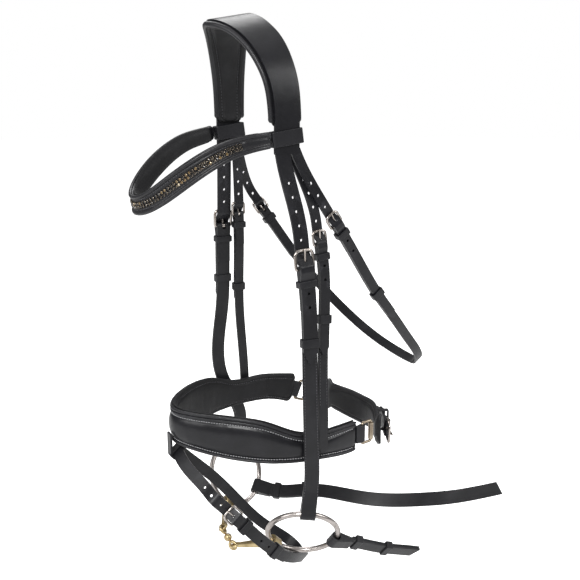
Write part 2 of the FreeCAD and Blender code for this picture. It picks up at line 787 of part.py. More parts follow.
def lozenge():
    """Middle link of the mouthpiece with an eye for each arm."""
    near, near_joint, far_joint, far = mouth_points()
    middle = (near_joint + far_joint) / 2
    eyes = []
    for pivot, wire in ((near_joint, near), (far_joint, far)):
        hinge = unit((pivot - wire.o).cross(middle - pivot))
        eyes.append(link_eye(pivot, hinge))
    return one([Part.makeSphere(4.7, middle)] + eyes)


# ---------------------------------------------------------------- crank strap and jaw pad
def dee_frame(side):
    """Frame of the wire dee at one end of the noseband; u points backwards."""
    frames, heights = noseband_frames()
    end = frames[0] if side > 0 else frames[-1]
    back = end.u if side > 0 else -end.u
    return Frame(end.at(0, 1.8) + back * DEE_SETBACK, back, Z * side)


def noseband_chape(side):
    """Short leather fold that holds the dee."""
    return eye_end(dee_frame(side), DEE_WIRE + 0.1, 1.8, DEE_SETBACK + 1.5, -1.4, 1.4, JAW_WIDTH)


def dee(side):
    """Wire dee at the end of the noseband."""
    half = JAW_WIDTH / 2 + 0.6 + DEE_WIRE
    return wire_loop(dee_frame(side), 0, DEE_LENGTH, half, DEE_WIRE, 2.0, 2.0)


def jaw_roller():
    """Roller on the near dee that the crank strap turns round."""
    bar = dee_frame(1).moved(DEE_LENGTH)
    half = JAW_WIDTH / 2 - 0.2
    return rod(bar, -half, half, ROLLER_RADIUS).cut(rod(bar, -half - 1, half + 1, DEE_WIRE + 0.1))


def jaw_spine():
    """Line of the crank strap from the near roller round the jaw to the far dee."""
    near = dee_frame(1)
    far = dee_frame(-1)
    turn = ROLLER_RADIUS + 0.15 + JAW_STRAP / 2
    first = near.at(DEE_LENGTH + 13, -turn)
    last = far.at(DEE_LENGTH + JAW_EYE)
    back = [V(66, 157, -444), V(30, 177, -449), V(-20, 183, -451), V(-64, 169, -448)]
    return Spine([first] + back + [last], near.u, -far.u, -Z)


def jaw_joint():
    """Buckle that closes the crank strap at the back of the jaw."""
    fit = Fitting(JAW_WIDTH)
    seat = JAW_STRAP / 2 - JAW_BUCKLE_LIFT
    fit.reach = 26.0
    fit.low = seat + 1.0
    fit.high = seat + 2.9
    fit.base = seat - JAW_STRAP
    fit.flat = fit.high + GAP + fit.billet / 2
    jaw = jaw_spine()
    head, foot = [jaw.frame(JAW_BUCKLE_AT + step).moved(0, JAW_BUCKLE_LIFT) for step in (0, fit.reach)]
    bar = Frame(head.o, head.o - foot.o, head.w)
    frames = [jaw.frame(JAW_BUCKLE_AT + fit.reach + step) for step in (14, 28, 42)]
    points = [bar.at(-fit.reach)] + [frame.at(0, JAW_BUCKLE_LIFT) for frame in frames]
    lower = Spine(points, -bar.u, -frames[-1].u, bar.w)
    near = dee_frame(1)
    turn = ROLLER_RADIUS + 0.15 + fit.billet / 2
    return joint(bar, fit, near.at(DEE_LENGTH + 13, turn), near.u, -Z, lower, BILLET_TIP["jaw"])


def jaw_strap():
    """Crank strap: sewn to the far dee, round the near roller and back to its buckle."""
    jaw = jaw_spine()
    near = dee_frame(1)
    turn = ROLLER_RADIUS + 0.15 + JAW_STRAP / 2
    corner = DEE_LENGTH - turn
    start = DEE_LENGTH + 13
    bend = ribbon(near, [(start, -turn), (corner, -turn), (corner, turn), (start, turn)],
                  JAW_WIDTH, JAW_STRAP, turn - 0.05)
    inner = strap(jaw.frames(0, jaw.length, 19), JAW_WIDTH, -JAW_STRAP / 2, JAW_STRAP / 2)
    far = dee_frame(-1).moved(DEE_LENGTH)
    end = Frame(far.o, -far.u, -far.w)
    eye = eye_end(end, DEE_WIRE + 0.1, 2.0, JAW_EYE, -JAW_STRAP / 2, JAW_STRAP / 2, JAW_WIDTH)
    return one([inner, bend, eye] + jaw_joint().billet())


def jaw_chape():
    """Folded patch on the crank strap that holds its buckle."""
    link = jaw_joint()
    fit = link.fit
    tail = strap(link.lower.frames(0, 22, 4), fit.width - 1, fit.low + 0.5, fit.high)
    return one([link.chape(), tail])


def jaw_keeper():
    """Keeper round the crank strap, its buckle's patch and the billet on top."""
    fit = jaw_joint().fit
    frame = jaw_spine().frame(JAW_BUCKLE_AT + fit.reach - 3.5).moved(0, JAW_BUCKLE_LIFT)
    return keeper(frame, fit.base - 0.2, fit.flat + fit.billet / 2 + 1.5, fit.width + 2.4, 7.0)


def jaw_pad():
    """Padded lining inside the crank strap."""
    jaw = jaw_spine()
    frames = jaw.frames(10, jaw.length - 14, 15)
    sections = []
    top = -JAW_STRAP / 2 - KEEPER_WALL - 1.0
    for i in range(15):
        half = 13.5 + 5.0 * math.sin(math.pi * i / 14)
        sections.append([
            (top, -half + 2), (top, half - 2), (top - 3, half),
            (top - 6.5, half - 3), (top - 6.5, -half + 3), (top - 3, -half),
        ])
    return loft(frames, sections)


# ---------------------------------------------------------------- flash strap
def flash_joint():
    """Flash buckle and the strap's whole line round the muzzle back to it."""
    fit = Fitting(FLASH_WIDTH)
    bar = bar_frame(V(77.5, -35, -501), V(0.2, 0.64, -0.74), -FLASH_ACROSS)
    down = [V(80, -4, -537), V(66, 34.5, -573.2), V(35, 70, -601), V(-3, 86, -624)]
    up = [V(-34, 92, -627), V(-49, 63, -602), V(-47, 30, -565), V(-35, -13, -510), V(-19, -56, -463)]
    tab = [FLASH_TAB - FLASH_PULL * 6, FLASH_TAB, FLASH_TAB + FLASH_PULL * 6]
    tab += [V(20, -72, -451.5), V(37, -66.5, -461), V(57.5, -59, -472)]
    line = Spine([bar.at(-fit.reach)] + down + up + tab + [bar.at(fit.bow + 8, fit.under)],
                 -bar.u, -bar.u, bar.w)
    return bar, fit, line


def flash_link():
    """The flash buckle's joint; the billet is the end of the same strap."""
    bar, fit, line = flash_joint()
    return BuckledJoint(bar, fit, None, line, BILLET_TIP["flash"])


def flash_strap():
    """Flash strap: one strap from its buckle round the muzzle, through the tab and back."""
    link = flash_link()
    fit = link.fit
    line = link.lower
    half = fit.billet / 2
    main = strap(line.frames(0, line.length, 41), fit.width, -half, half)
    main = punched(main, [line.frame(line.length - 2 - HOLE_PITCH * i) for i in range(3)])
    through = buckle_billet(link.bar, fit, fit.bow + 8)
    below = strap(line.frames(0, link.tip, 7), fit.width, fit.flat - half, fit.flat + half)
    below = punched(below, [line.frame(d) for d in (22.0, 22.0 + HOLE_PITCH)])
    end = line.frame(link.tip).moved(0, fit.flat)
    return one([link.chape(), main, through, pointed(below, end, fit.width, 10)])


def flash_tab():
    """Leather loop under the front of the noseband that carries the flash strap."""
    line = flash_link().lower
    place = line.edge.Curve.parameter(FLASH_TAB)
    frame = line.frame(line.edge.Curve.length(line.edge.FirstParameter, place))
    loop = keeper(frame, -2.0, 2.0, FLASH_WIDTH + 0.8, 10.0, 2.0)
    foot = frame.at(0, 3.2, FLASH_WIDTH / 2 + 0.4 + FIT)
    front = NOSE_MARKS[0][1] - NOSEBAND_BULGE - GAP - 1.2
    stem = Frame(V(0, front, -424), Z, X)
    face = block(stem, foot.z - stem.o.z, 0, -1.2, 1.2, 10.0)
    return one([loop, face])


# ---------------------------------------------------------------- reins
def rein_eye(side):
    """Frame of the rein's loop on the ring; u points from the rein to the ring."""
    if side > 0:
        wire = ring_point(1, 74)
        ahead = V(0.26, 0.92, -0.26)
        return square_frame(wire.o, -ahead, wire.w)
    wire = ring_point(-1, 62)
    return square_frame(wire.o, -V(0.66, 0.74, 0.0), -wire.w)


def rein(side):
    """A rein with its billet folded round the ring, cut short as shown."""
    eye = rein_eye(side)
    half = LEATHER / 2
    start = eye.at(-REIN_EYE_LENGTH)
    if side > 0:
        points = [start, eye.at(-64, -1.0), eye.at(-108, 2.0)]
        line = Spine(points, -eye.u, -eye.u, -eye.w)
        doubled = line.length
    else:
        points = [start, V(-28, 113, -554), V(31, 165, -551), V(64, 225, -551), V(78, 335, -556)]
        line = Spine(points, -eye.u, V(0.05, 1, -0.03), -eye.w, V(-0.5, 0, 0.86))
        doubled = 62.0
    main = strap(line.frames(0, line.length, 15), REIN_WIDTH, -half, half)
    back = strap(line.frames(0, doubled, 6), REIN_WIDTH - 0.8, -half - RING_WRAP, 0)
    fold = eye_end(eye, RING_HOLE, RING_WRAP, REIN_EYE_LENGTH, -half - RING_WRAP, half, REIN_WIDTH)
    solid = one([main, back, fold])
    end = line.frame(line.length)
    slant = [(-8, REIN_WIDTH), (9, REIN_WIDTH), (-1, -REIN_WIDTH), (-8, -REIN_WIDTH)]
    return solid.cut(plate(end, slant, -12, 12)), line


def rein_keepers(line):
    """Two fixed keepers on the doubled part of the rein."""
    low = -LEATHER / 2 - RING_WRAP
    high = LEATHER / 2
    return Part.makeCompound([keeper(line.frame(d), low, high, REIN_WIDTH, 8.0, 1.4) for d in (8.0, 46.0)])


# ---------------------------------------------------------------- all pieces
def buckle_set(nodes, name, link):
    """The metal and the sliding keeper of one buckled joint."""
    nodes[name + "_buckle"] = buckle(link.bar, link.fit)
    nodes[name + "_tongue"] = tongue(link.bar, link.fit)
    if name in SLIDER_AT:
        nodes[name + "_slider"] = link.stack_keeper(SLIDER_AT[name], 9.0)


def build():
    """Every piece of the bridle by node name."""
    nodes = {}
    links = {}
    for side, name in NAMES.items():
        links["cheek_" + name] = cheek_joint(side)
        links["nose_" + name] = hanger_joint(side)
    throat, line = throat_joints()
    links["throat_near"], links["throat_far"] = throat
    crown = [crown_leather()]
    for name in ("cheek_near", "cheek_far", "throat_near", "throat_far"):
        crown += links[name].billet()
    nodes["headpiece_crown"] = one(crown)
    nodes["headpiece_pad"] = crown_pad()
    for name in ("near", "far"):
        nodes["noseband_billet_" + name] = one(links["nose_" + name].billet())
    for side, name in NAMES.items():
        nodes["cheekpiece_" + name] = cheekpiece(side)
        nodes["noseband_hanger_" + name] = hanger(side)
    nodes["throatlatch"] = throatlatch()
    for name, link in links.items():
        buckle_set(nodes, name, link)
    for kind in ("cheek", "nose", "throat"):
        pair = [links[kind + "_near"].fixed_keeper(), links[kind + "_far"].fixed_keeper()]
        nodes[kind + "_keepers"] = Part.makeCompound(pair)

    spine = browband_spine()
    nodes["browband_leather"] = browband_layer(spine, -BROWBAND_LEATHER / 2, BROWBAND_LEATHER / 2, 0, 5)
    pad_top = -BROWBAND_LEATHER / 2 - 0.4
    nodes["browband_pad"] = browband_layer(spine, pad_top - 4.0, pad_top, -0.8, 14)
    nodes["browband_crystals"] = crystals(spine)
    nodes["browband_loops"] = Part.makeCompound([browband_loop(1), browband_loop(-1)])

    band = noseband_leather()
    nodes["noseband_leather"] = band
    nodes["noseband_chapes"] = Part.makeCompound([noseband_chape(side).cut(band) for side in NAMES])
    nodes["noseband_pad"] = noseband_pad()
    nodes["noseband_dees"] = Part.makeCompound([dee(1), dee(-1)])
    nodes["jaw_roller"] = jaw_roller()
    nodes["jaw_strap"] = jaw_strap()
    nodes["jaw_chape"] = jaw_chape()
    nodes["jaw_pad"] = jaw_pad()
    buckle_set(nodes, "jaw", jaw_joint())
    nodes["jaw_keeper"] = jaw_keeper()

    nodes["flash_tab"] = flash_tab()
    nodes["flash_strap"] = flash_strap()
    buckle_set(nodes, "flash", flash_link())
    nodes["flash_keeper"] = flash_link().fixed_keeper()

    for side, name in NAMES.items():
        nodes["bit_ring_" + name] = bit_ring(side)
        nodes["bit_arm_" + name] = mouth_arm(side)
        nodes["rein_" + name], line = rein(side)
        nodes["rein_keepers_" + name] = rein_keepers(line)
    nodes["bit_lozenge"] = lozenge()
    return nodes


def main():
    """Write one STEP file per piece."""
    os.makedirs("parts", exist_ok=True)
    for name, shape in build().items():
        shape.exportStep(os.path.join("parts", name + ".step"))


main()
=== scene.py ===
import bmesh
import bpy
import math
import random

import numpy as np
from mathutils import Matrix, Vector, noise


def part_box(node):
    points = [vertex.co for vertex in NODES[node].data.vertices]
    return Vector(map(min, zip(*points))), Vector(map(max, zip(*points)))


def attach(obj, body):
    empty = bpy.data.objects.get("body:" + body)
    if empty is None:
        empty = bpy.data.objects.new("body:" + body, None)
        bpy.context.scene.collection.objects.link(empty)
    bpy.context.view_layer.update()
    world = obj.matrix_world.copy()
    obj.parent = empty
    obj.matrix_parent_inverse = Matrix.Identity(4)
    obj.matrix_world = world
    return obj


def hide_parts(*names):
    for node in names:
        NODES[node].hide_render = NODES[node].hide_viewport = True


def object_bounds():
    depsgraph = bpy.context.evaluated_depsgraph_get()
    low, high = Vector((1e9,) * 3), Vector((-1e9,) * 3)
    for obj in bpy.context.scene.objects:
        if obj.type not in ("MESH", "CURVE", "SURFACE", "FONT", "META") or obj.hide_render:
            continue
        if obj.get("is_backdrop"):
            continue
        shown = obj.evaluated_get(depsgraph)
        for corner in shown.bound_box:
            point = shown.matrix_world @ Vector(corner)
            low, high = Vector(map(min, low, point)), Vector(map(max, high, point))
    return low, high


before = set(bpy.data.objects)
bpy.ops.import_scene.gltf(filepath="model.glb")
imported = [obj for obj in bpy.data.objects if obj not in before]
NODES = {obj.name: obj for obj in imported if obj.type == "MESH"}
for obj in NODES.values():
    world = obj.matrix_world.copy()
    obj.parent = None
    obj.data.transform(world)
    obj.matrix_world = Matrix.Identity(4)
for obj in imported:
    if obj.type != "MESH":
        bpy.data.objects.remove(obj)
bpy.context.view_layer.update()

MM = 0.001
random.seed(11)


# ---------------------------------------------------------------- materials
def node_tree(name):
    """A new material with its node tree, principled shader and object coordinates."""
    material = bpy.data.materials.new(name)
    material.use_nodes = True
    tree = material.node_tree
    shader = tree.nodes["Principled BSDF"]
    coordinates = tree.nodes.new("ShaderNodeTexCoord")
    return material, tree, shader, coordinates.outputs["Object"]


def texture(tree, kind, vector, **values):
    """A texture node fed by a vector, with its inputs set by name."""
    node = tree.nodes.new(kind)
    tree.links.new(vector, node.inputs["Vector"])
    for key, value in values.items():
        node.inputs[key.replace("_", " ")].default_value = value
    return node


def ramp(tree, source, stops):
    """A colour ramp from a list of (position, colour)."""
    node = tree.nodes.new("ShaderNodeValToRGB")
    tree.links.new(source, node.inputs["Fac"])
    elements = node.color_ramp.elements
    while len(elements) < len(stops):
        elements.new(0.5)
    for element, (place, colour) in zip(elements, stops):
        element.position = place
        element.color = (*colour, 1.0)
    return node.outputs["Color"]


def remap(tree, source, low, high):
    """The value 0..1 mapped to low..high."""
    node = tree.nodes.new("ShaderNodeMapRange")
    tree.links.new(source, node.inputs["Value"])
    node.inputs["To Min"].default_value = low
    node.inputs["To Max"].default_value = high
    return node.outputs["Result"]


def bump(tree, height, distance, strength, below=None):
    """A bump node on top of another normal."""
    node = tree.nodes.new("ShaderNodeBump")
    node.inputs["Distance"].default_value = distance
    node.inputs["Strength"].default_value = strength
    tree.links.new(height, node.inputs["Height"])
    if below is not None:
        tree.links.new(below, node.inputs["Normal"])
    return node.outputs["Normal"]


def mixed(tree, factor, first, second, mode="MIX"):
    """Two colours mixed; factor may be a socket or a number."""
    node = tree.nodes.new("ShaderNodeMix")
    node.data_type = "RGBA"
    node.blend_type = mode
    if isinstance(factor, float):
        node.inputs["Factor"].default_value = factor
    else:
        tree.links.new(factor, node.inputs["Factor"])
    for value, socket in ((first, node.inputs[6]), (second, node.inputs[7])):
        if isinstance(value, tuple):
            socket.default_value = (*value, 1.0)
        else:
            tree.links.new(value, socket)
    return node.outputs[2]


def leather(name, colour, rough, grain, depth, sheen=0.0, coat=0.08):
    """Dyed leather: clouded colour, pebbled grain, fine pores, creases and a painted highlight in patches on
    the convex edges.
    """
    material, tree, shader, place = node_tree(name)
    clouds = texture(tree, "ShaderNodeTexNoise", place, Scale=38.0, Detail=6.0, Roughness=0.6)
    darker = tuple(c * 0.72 for c in colour)
    lighter = tuple(min(1.0, c * 1.45 + 0.001) for c in colour)
    tint = ramp(tree, clouds.outputs["Fac"], [(0.3, darker), (0.52, colour), (0.75, lighter)])
    # Convex edges get a lighter colour in patches: a painted edge highlight.
    geometry = tree.nodes.new("ShaderNodeNewGeometry")
    painted_edge_highlight = ramp(tree, geometry.outputs["Pointiness"], [(0.53, (0, 0, 0)), (0.62, (1, 1, 1))])
    patchy_edge_highlight = mixed(tree, 1.0, painted_edge_highlight, clouds.outputs["Fac"], "MULTIPLY")
    tint = mixed(tree, patchy_edge_highlight, tint, tuple(min(1.0, c * 2.6 + 0.006) for c in colour))
    tree.links.new(tint, shader.inputs["Base Color"])
    pebbles = texture(tree, "ShaderNodeTexVoronoi", place, Scale=grain, Randomness=1.0)
    pores = texture(tree, "ShaderNodeTexNoise", place, Scale=grain * 2.6, Detail=3.0)
    creases = texture(tree, "ShaderNodeTexNoise", place,
                      Scale=120.0, Detail=8.0, Roughness=0.7, Distortion=1.2)
    normal = bump(tree, creases.outputs["Fac"], 0.0006, 0.22)
    normal = bump(tree, pebbles.outputs["Distance"], depth, 0.5, normal)
    normal = bump(tree, pores.outputs["Fac"], depth * 0.5, 0.3, normal)
    tree.links.new(normal, shader.inputs["Normal"])
    roughness = remap(tree, creases.outputs["Fac"], rough - 0.1, rough + 0.14)
    tree.links.new(roughness, shader.inputs["Roughness"])
    shader.inputs["Specular IOR Level"].default_value = 0.26
    shader.inputs["Coat Weight"].default_value = coat
    shader.inputs["Coat Roughness"].default_value = 0.2
    shader.inputs["Sheen Weight"].default_value = sheen
    shader.inputs["Sheen Roughness"].default_value = 0.4
    return material


def metal(name, colour, rough, tarnish, scratches=0.25):
    """Polished metal with a clouded tarnish and fine hairline scratches."""
    material, tree, shader, place = node_tree(name)
    clouds = texture(tree, "ShaderNodeTexNoise", place, Scale=70.0, Detail=7.0, Roughness=0.65)
    tint = ramp(tree, clouds.outputs["Fac"], [(0.35, tarnish), (0.6, colour)])
    tree.links.new(tint, shader.inputs["Base Color"])
    shader.inputs["Metallic"].default_value = 1.0
    roughness = remap(tree, clouds.outputs["Fac"], rough + 0.12, rough - 0.04)
    tree.links.new(roughness, shader.inputs["Roughness"])
    stretch = tree.nodes.new("ShaderNodeMapping")
    stretch.inputs["Scale"].default_value = (1.0, 0.12, 1.0)
    stretch.inputs["Rotation"].default_value = (0.5, 0.3, 0.8)
    tree.links.new(place, stretch.inputs["Vector"])
    lines = texture(tree, "ShaderNodeTexNoise", stretch.outputs["Vector"], Scale=3200.0, Detail=2.0)
    dents = texture(tree, "ShaderNodeTexNoise", place, Scale=260.0, Detail=2.0)
    normal = bump(tree, dents.outputs["Fac"], 0.0002, 0.12)
    normal = bump(tree, lines.outputs["Fac"], 0.00004, scratches, normal)
    tree.links.new(normal, shader.inputs["Normal"])
    return material


def thread(name, colour):
    """Waxed sewing thread with a twisted lay, darker in the grooves of the twist as painted shade."""
    material, tree, shader, place = node_tree(name)
    twist = texture(tree, "ShaderNodeTexWave", place, Scale=1500.0, Distortion=1.0)
    # The colour follows the twist's height and is darker in its grooves: painted shade.
    tint = ramp(tree, twist.outputs["Fac"], [(0.2, tuple(c * 0.6 for c in colour)), (0.8, colour)])
    tree.links.new(tint, shader.inputs["Base Color"])
    tree.links.new(bump(tree, twist.outputs["Fac"], 0.0001, 0.5), shader.inputs["Normal"])
    shader.inputs["Roughness"].default_value = 0.6
    return material


def stones(name):
    """Small faceted stones: smoky black, gold and bronze mixed stone by stone, with a few pale stones as
    painted sparkle.
    """
    material, tree, shader, place = node_tree(name)
    geometry = tree.nodes.new("ShaderNodeNewGeometry")
    # The last, pale stop gives a few stones a pale colour as painted sparkle.
    tint = ramp(tree, geometry.outputs["Random Per Island"], [
        (0.0, (0.006, 0.006, 0.007)), (0.5, (0.025, 0.02, 0.016)), (0.68, (0.20, 0.13, 0.05)),
        (0.8, (0.05, 0.038, 0.025)), (0.93, (0.70, 0.60, 0.42)),
    ])
    tree.nodes[-1].color_ramp.interpolation = "CONSTANT"
    flaws = texture(tree, "ShaderNodeTexNoise", place, Scale=900.0, Detail=3.0)
    tree.links.new(mixed(tree, 0.25, tint, flaws.outputs["Color"], "OVERLAY"), shader.inputs["Base Color"])
    tree.links.new(remap(tree, flaws.outputs["Fac"], 0.04, 0.14), shader.inputs["Roughness"])
    shader.inputs["Metallic"].default_value = 0.35
    shader.inputs["Coat Weight"].default_value = 0.8
    shader.inputs["Coat Roughness"].default_value = 0.03
    return material


def plain(name, colour):
    """Matt studio surface with a faint mottle."""
    material, tree, shader, place = node_tree(name)
    clouds = texture(tree, "ShaderNodeTexNoise", place, Scale=1.5, Detail=2.0)
    tint = ramp(tree, clouds.outputs["Fac"], [(0.3, colour), (0.7, tuple(c * 0.985 for c in colour))])
    tree.links.new(tint, shader.inputs["Base Color"])
    shader.inputs["Roughness"].default_value = 0.9
    shader.inputs["Specular IOR Level"].default_value = 0.1
    return material


STRAP = leather("strap_leather", (0.011, 0.011, 0.013), 0.38, 1500.0, 0.00012, coat=0.1)
GLOSS = leather("glossy_leather", (0.008, 0.008, 0.010), 0.30, 1100.0, 0.00010, coat=0.16)
SOFT = leather("pad_leather", (0.009, 0.009, 0.010), 0.55, 900.0, 0.00022, sheen=0.04, coat=0.02)
PIPING = leather("piping_leather", (0.012, 0.012, 0.014), 0.38, 1300.0, 0.00008, coat=0.2)
STEEL = metal("buckle_steel", (0.52, 0.48, 0.45), 0.18, (0.30, 0.26, 0.23))
RING = metal("ring_steel", (0.50, 0.46, 0.44), 0.24, (0.36, 0.33, 0.31))
BRONZE = metal("bit_bronze", (0.60, 0.48, 0.27), 0.28, (0.38, 0.29, 0.15), 0.35)
DEE = metal("dee_metal", (0.40, 0.34, 0.26), 0.2, (0.20, 0.16, 0.12))
THREAD = thread("pale_thread", (0.52, 0.52, 0.54))
DARK_THREAD = thread("dark_thread", (0.10, 0.10, 0.11))
STONES = stones("stones")


# ---------------------------------------------------------------- meshes
def add_mesh(name, points, faces, material, body, smooth=True):
    """A new piece that rides on a body and takes a material slot."""
    mesh = bpy.data.meshes.new(name)
    mesh.from_pydata([tuple(p) for p in points], [], faces)
    mesh.update()
    fixed = bmesh.new()
    fixed.from_mesh(mesh)
    bmesh.ops.recalc_face_normals(fixed, faces=fixed.faces)
    fixed.to_mesh(mesh)
    fixed.free()
    if smooth:
        mesh.shade_smooth()
    mesh.materials.append(material)
    piece = bpy.data.objects.new(name, mesh)
    bpy.context.scene.collection.objects.link(piece)
    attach(piece, body)
    return piece


def triangles(node):
    """Corner points of every triangle of a CAD node."""
    mesh = NODES[node].data
    mesh.calc_loop_triangles()
    points = np.empty(len(mesh.vertices) * 3)
    mesh.vertices.foreach_get("co", points)
    corners = np.empty(len(mesh.loop_triangles) * 3, np.int32)
    mesh.loop_triangles.foreach_get("vertices", corners)
    return points.reshape(-1, 3)[corners].reshape(-1, 3, 3)


def section(tris, centre, ahead, across):
    """Points (r, a) where a half plane from the centre cuts the triangles."""
    normal = np.cross(ahead, across)
    offset = (tris - centre) @ normal
    found = []
    for i, j in ((0, 1), (1, 2), (2, 0)):
        a, b = offset[:, i], offset[:, j]
        hit = (a > 0) != (b > 0)
        share = (a[hit] / (a[hit] - b[hit]))[:, None]
        found.append(tris[hit, i] * (1 - share) + tris[hit, j] * share)
    points = np.concatenate(found)
    local = np.stack([(points - centre) @ ahead, (points - centre) @ across], 1)
    return local[local[:, 0] > 0]


def fan(centre, turn, across, start, stop, count):
    """Half planes turned about an axis, as (centre, ahead, across)."""
    angles = np.linspace(math.radians(start), math.radians(stop), count)
    return [(np.array(centre), np.array(turn(angle)), np.array(across, float)) for angle in angles]


def levels(side, top, bottom, count):
    """Level half planes on one side of the head."""
    ahead = np.array([float(side), 0.0, 0.0])
    across = np.array([0.0, 1.0, 0.0])
    return [(np.array([0.0, 0.0, z]), ahead, across) for z in np.linspace(top, bottom, count)]


END_STATIONS = 6        # stations that lengthen adds past each end


class Track:
    """Stations along a CAD piece, read off as a row of cuts through it."""

    def __init__(self, node, planes):
        tris = triangles(node)
        rows = []
        for centre, ahead, across in planes:
            cut = section(tris, centre, ahead, across)
            if len(cut) < 6:
                continue
            low, high = cut[:, 1].min(), cut[:, 1].max()
            margin = (high - low) * 0.2
            bottom = cut[cut[:, 1] < low + margin][:, 0]
            top = cut[cut[:, 1] > high - margin][:, 0]
            foot = np.array([(bottom.min() + bottom.max()) / 2, low])
            head = np.array([(top.min() + top.max()) / 2, high])
            up = (head - foot) / np.linalg.norm(head - foot)
            out = np.array([up[1], -up[0]])
            reach = (cut - (foot + head) / 2) @ out
            middle = centre + ahead * (foot + head)[0] / 2 + across * (foot + head)[1] / 2
            width = np.linalg.norm(head - foot) / 2
            rows.append(np.concatenate([
                middle, ahead * out[0] + across * out[1], ahead * up[0] + across * up[1],
                [width, reach.min(), reach.max()],
            ]))
        rows = np.array(rows)
        for _ in range(3):
            rows[1:-1] = rows[:-2] * 0.25 + rows[1:-1] * 0.5 + rows[2:] * 0.25
        self.place = rows[:, 0:3]
        self.out = rows[:, 3:6]
        self.up = rows[:, 6:9]
        self.half, self.low, self.high = rows[:, 9], rows[:, 10], rows[:, 11]
        self.measure()

    def measure(self):
        """Number of stations and their distances from the start."""
        self.count = len(self.half)
        steps = np.linalg.norm(np.diff(self.place, axis=0), axis=1)
        self.along = np.concatenate([[0], np.cumsum(steps)])
        self.length = self.along[-1]

    def lengthen(self, extra, narrow):
        """Straight stations added past both ends, their half width falling by narrow."""
        for end in (0, -1):
            step = self.place[end] - self.place[-4 if end else 3]
            step = step / np.linalg.norm(step)
            for _ in range(END_STATIONS):
                row = (self.place[end] + step * extra / END_STATIONS, self.out[end], self.up[end],
                       self.half[end] - narrow / END_STATIONS, self.low[end], self.high[end])
                names = ("place", "out", "up", "half", "low", "high")
                for name, value in zip(names, row):
                    old = getattr(self, name)
                    new = np.array([value])
                    setattr(self, name, np.concatenate([new, old] if end == 0 else [old, new]))
        self.measure()

    def point(self, i, n, w):
        """The point n outwards and w upwards from station i."""
        return self.place[i] + self.out[i] * n + self.up[i] * w

    def line(self, n_at, w_at, first=0, last=None):
        """Points along the track; n_at and w_at give the offsets at a station."""
        last = self.count if last is None else last
        return [self.point(i, n_at(i), w_at(i)) for i in range(first, last)]


def sweep(name, track, profile, material, body, ends=0.004, first=0, last=None):
    """A closed skin through one profile per station, with rounded ends."""
    last = track.count if last is None else last
    points = []
    faces = []
    size = None
    span = (track.along[first], track.along[last - 1])
    for i in range(first, last):
        outline = profile(i)
        size = len(outline)
        near_end = min(track.along[i] - span[0], span[1] - track.along[i])
        close = max(0.0, 1 - near_end / ends) if ends else 0.0
        shrink = math.sqrt(max(0.02, 1 - close * close))
        middle = (min(n for n, w in outline) + max(n for n, w in outline)) / 2
        for n, w in outline:
            side = math.copysign(max(0.0, abs(w) - (1 - shrink) * ends), w)
            points.append(track.point(i, middle + (n - middle) * shrink, side))
    rings = len(points) // size
    for ring in range(rings - 1):
        for k in range(size):
            a, b = ring * size + k, ring * size + (k + 1) % size
            faces.append((a, b, b + size, a + size))
    for ring in (0, rings - 1):
        points.append(np.mean(points[ring * size:(ring + 1) * size], axis=0))
        hub = len(points) - 1
        for k in range(size):
            a, b = ring * size + k, ring * size + (k + 1) % size
            faces.append((b, a, hub) if ring == 0 else (a, b, hub))
    return add_mesh(name, points, faces, material, body)


def tube(name, paths, radius, material, body, sides=10):
    """Round cords along lines of points."""
    points = []
    faces = []
    for path in paths:
        path = [Vector(p) for p in path]
        base = len(points)
        side = None
        for i, here in enumerate(path):
            ahead = (path[min(i + 1, len(path) - 1)] - path[max(i - 1, 0)]).normalized()
            if side is None:
                side = ahead.orthogonal()
            side = (side - ahead * side.dot(ahead)).normalized()
            other = ahead.cross(side)
            at_end = min(i, len(path) - 1 - i)
            grow = radius * (0.45, 0.85, 1.0)[min(at_end, 2)]
            for k in range(sides):
                turn = 2 * math.pi * k / sides
                points.append(here + (side * math.cos(turn) + other * math.sin(turn)) * grow)
        for i in range(len(path) - 1):
            for k in range(sides):
                a, b = base + i * sides + k, base + i * sides + (k + 1) % sides
                faces.append((a, b, b + sides, a + sides))
        faces.append(tuple(range(base, base + sides))[::-1])
        end = base + (len(path) - 1) * sides
        faces.append(tuple(range(end, end + sides)))
    return add_mesh(name, points, faces, material, body)


# Share of the half length, share of the radius and rise of each ring of a stitch.
STITCH_FORM = ((-1, 0.35, -0.7), (-0.6, 0.9, 0), (0, 1.1, 0.2), (0.6, 0.9, 0), (1, 0.35, -0.7))


def stitches(name, lines, material, body, length=2.3 * MM, pitch=3.3 * MM, radius=0.36 * MM):
    """Rows of single stitches; a line is (points, outward directions)."""
    points = []
    faces = []
    for path, outward in lines:
        path = np.array(path)
        outward = np.array(outward)
        along = np.concatenate([[0], np.cumsum(np.linalg.norm(np.diff(path, axis=0), axis=1))])
        for middle in np.arange(pitch, along[-1] - pitch, pitch):
            here = np.array([np.interp(middle, along, path[:, k]) for k in range(3)])
            ahead_of = np.array([np.interp(middle + length / 2, along, path[:, k]) for k in range(3)])
            out = np.array([np.interp(middle, along, outward[:, k]) for k in range(3)])
            ahead = (ahead_of - here) / np.linalg.norm(ahead_of - here)
            out = out / np.linalg.norm(out)
            side = np.cross(ahead, out)
            base = len(points)
            for share, grow, sink in STITCH_FORM:
                spot = here + ahead * share * length / 2 + out * sink * radius
                for k in range(6):
                    turn = math.pi * k / 3
                    points.append(spot + (side * math.cos(turn) + out * math.sin(turn)) * radius * grow)
            for ring in range(4):
                for k in range(6):
                    a, b = base + ring * 6 + k, base + ring * 6 + (k + 1) % 6
                    faces.append((a, b, b + 6, a + 6))
            faces.append(tuple(range(base, base + 6))[::-1])
            faces.append(tuple(range(base + 24, base + 30)))
    return add_mesh(name, points, faces, material, body)


def ease(x):
    """Smooth step from 0 to 1."""
    x = max(0.0, min(1.0, x))
    return x * x * (3 - 2 * x)


def groove(w, place, width, depth):
    """A rounded channel across a profile at w = place."""
    return -depth * math.exp(-((w - place) / width) ** 2)


